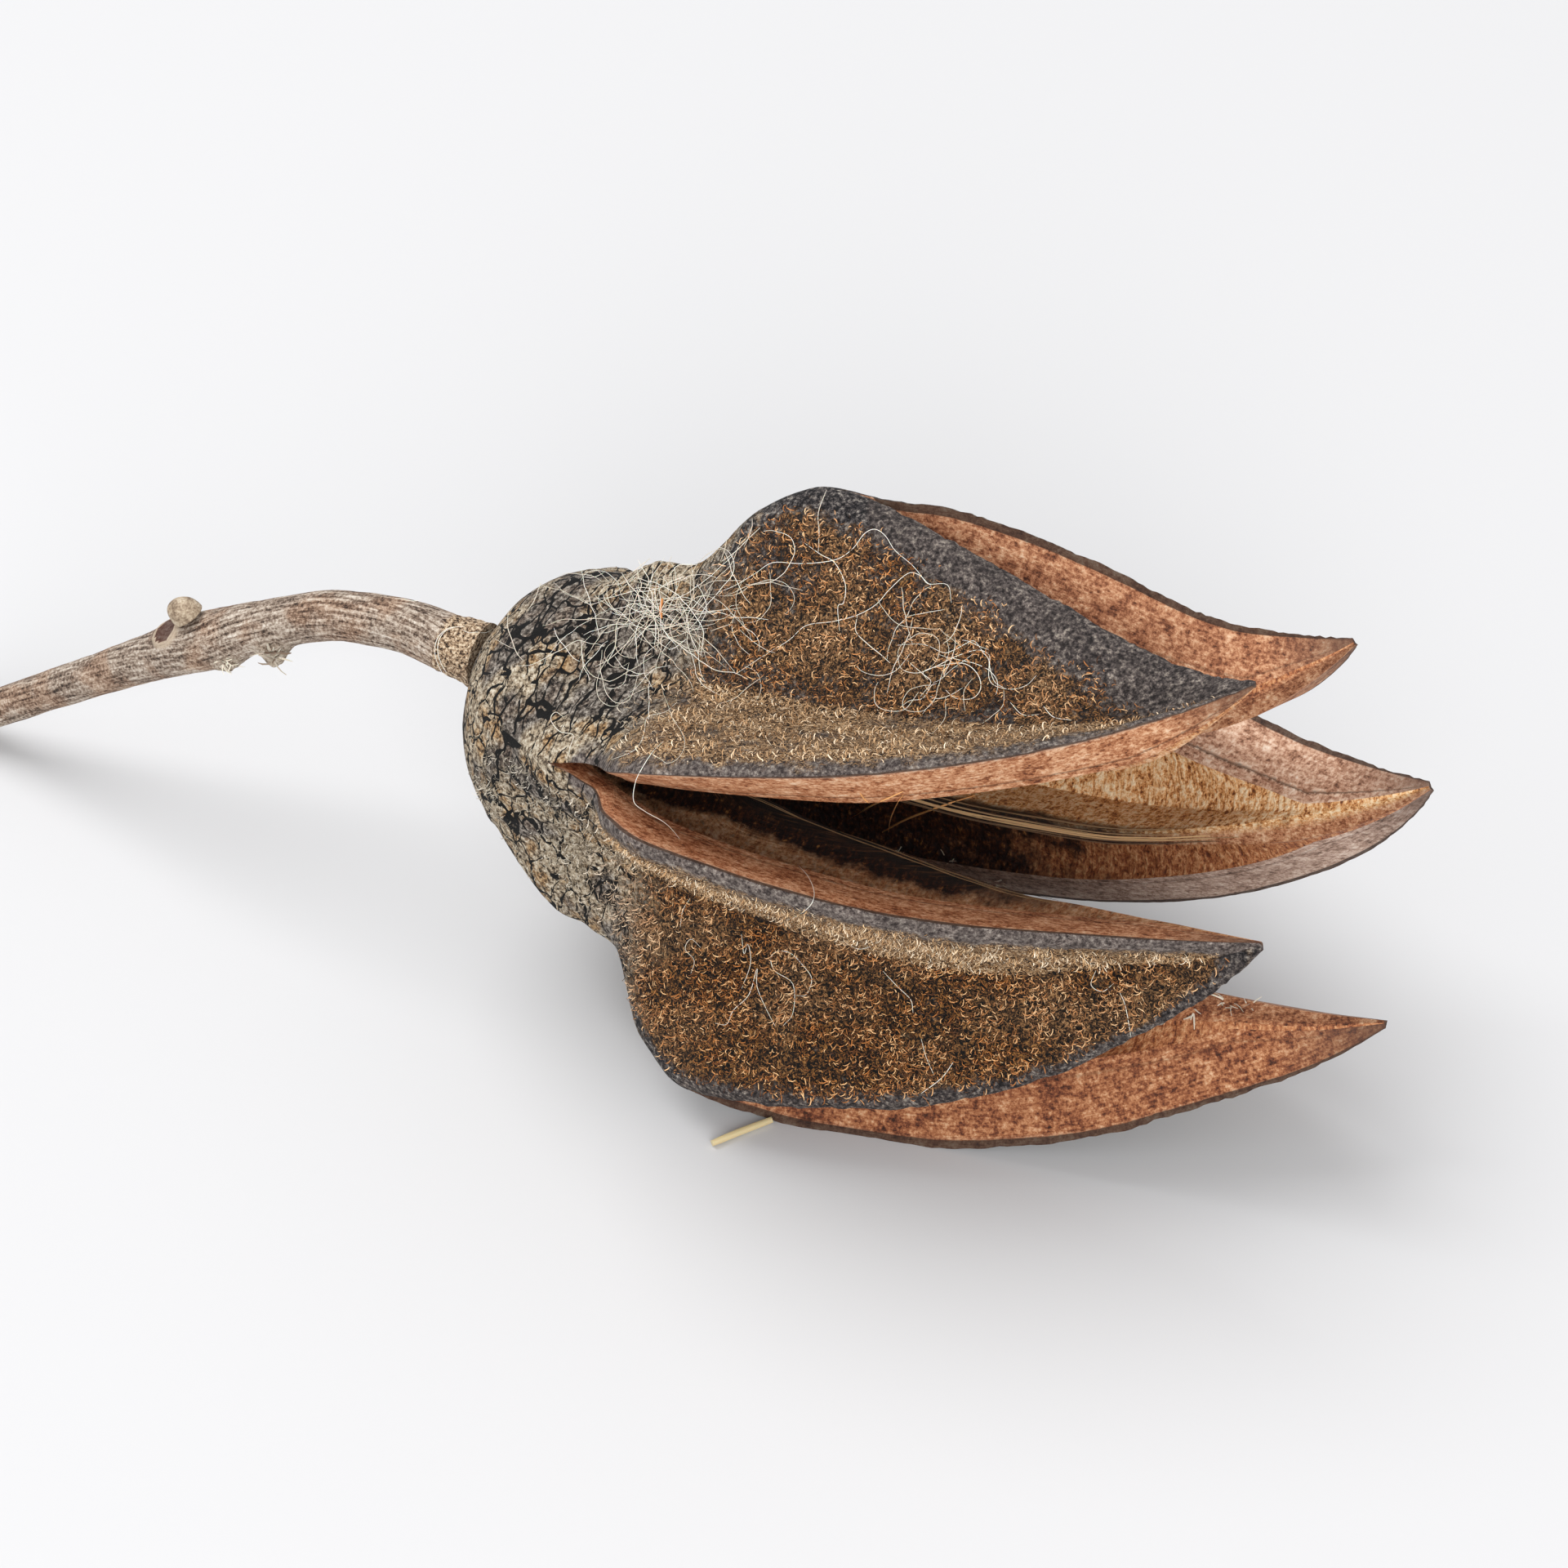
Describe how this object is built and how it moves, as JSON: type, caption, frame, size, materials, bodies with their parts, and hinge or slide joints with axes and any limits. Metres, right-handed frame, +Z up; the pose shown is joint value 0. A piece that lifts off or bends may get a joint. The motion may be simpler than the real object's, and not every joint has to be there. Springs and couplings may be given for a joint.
{
  "type": "dry seed capsule",
  "caption": "Dry woody seed capsule on a short stem, lying on its side, with boat-shaped valves split open from the tip along sharp ridges and empty seed chambers inside.",
  "frame": {"origin": "on the surface it lies on, under the middle of the whole thing, stem included", "axes": "+X from the cut end of the stem towards the tips of the valves, +Z up, -Y towards the side seen in the picture"},
  "size_m": [0.119, 0.0424, 0.0404],
  "materials": {
    "capsule_husk": "matt, downy outside and finely grained inside",
    "stem_bark": "matt bark with lengthwise fissures",
    "bud_down": "matt, velvety"
  },
  "bodies": {
    "root": {"capsule": "capsule_husk", "stem": "stem_bark", "bud": "bud_down"}
  },
  "joints": []
}
